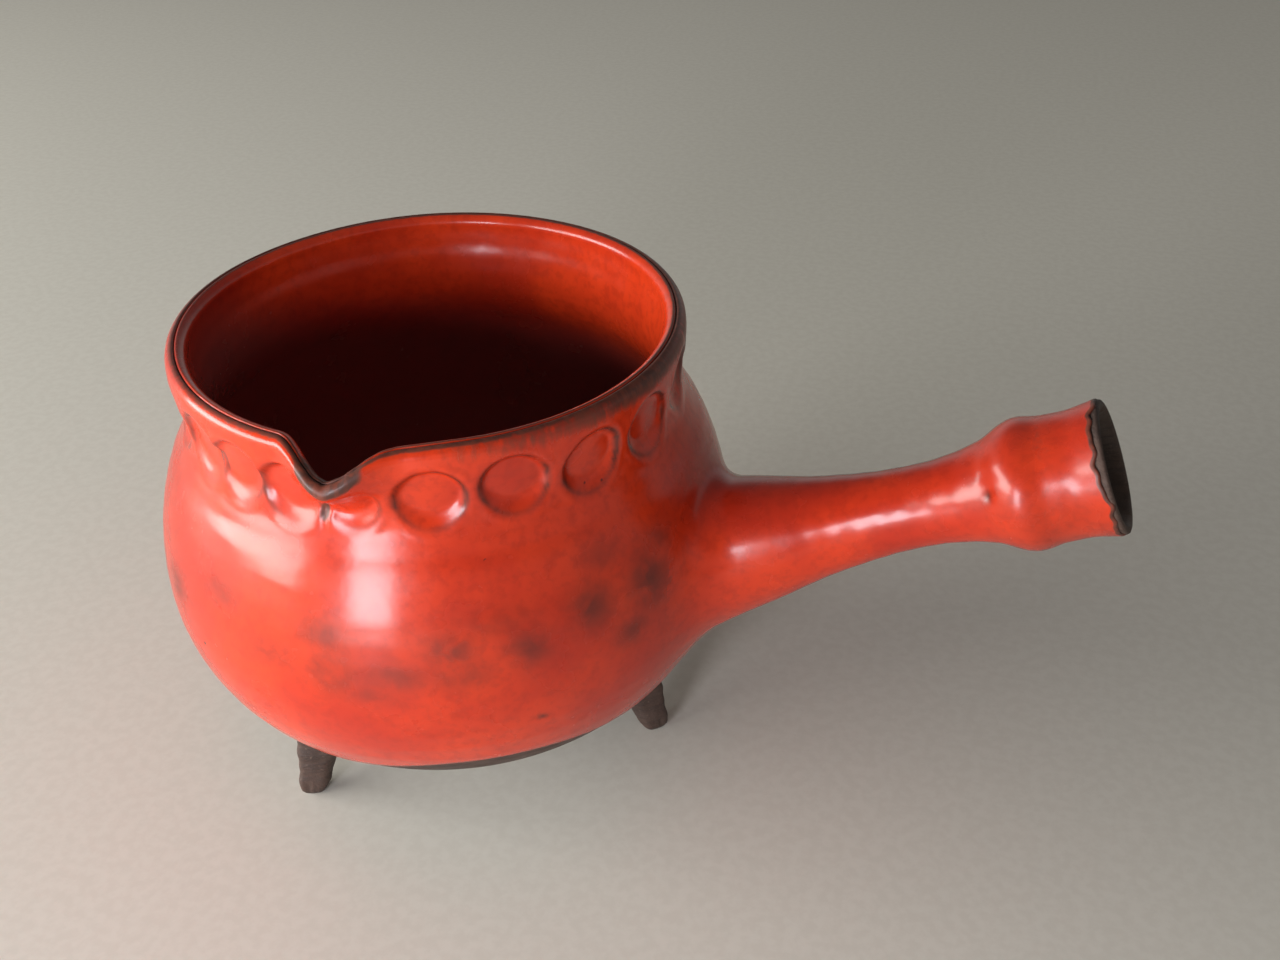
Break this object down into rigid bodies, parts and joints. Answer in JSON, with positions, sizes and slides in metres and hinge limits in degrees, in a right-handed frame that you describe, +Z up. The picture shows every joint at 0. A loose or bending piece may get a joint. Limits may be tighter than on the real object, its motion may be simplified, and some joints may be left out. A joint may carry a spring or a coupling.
{
  "type": "candle melting pot",
  "caption": "Round-bellied glazed stoneware pouring pot on short feet, with a pulled pouring lip, thumb-pressed neck and a hollow side handle; holds wax while it is melted and pours it.",
  "frame": {"origin": "centre of the overall length and width, on the surface that the feet stand on; the bowl's axis is at x = -0.0493 m", "axes": "+Z up, +X towards the open end of the handle, -Y towards the side that the pouring lip is on"},
  "size_m": [0.2532, 0.1546, 0.131],
  "materials": {
    "bare_clay": "matt, dark brown, lightly speckled",
    "red_glaze": "glossy, opaque red-orange, breaking to brown on edges",
    "inside_glaze": "glossy, opaque red-orange, darker low down"
  },
  "bodies": {
    "root": {"bowl": "bare_clay", "handle": "bare_clay", "foot_under_handle": "bare_clay", "foot_near_lip": "bare_clay", "foot_far_side": "bare_clay", "glaze_outside": "red_glaze", "glaze_inside": "inside_glaze", "glaze_handle": "red_glaze"}
  },
  "joints": []
}
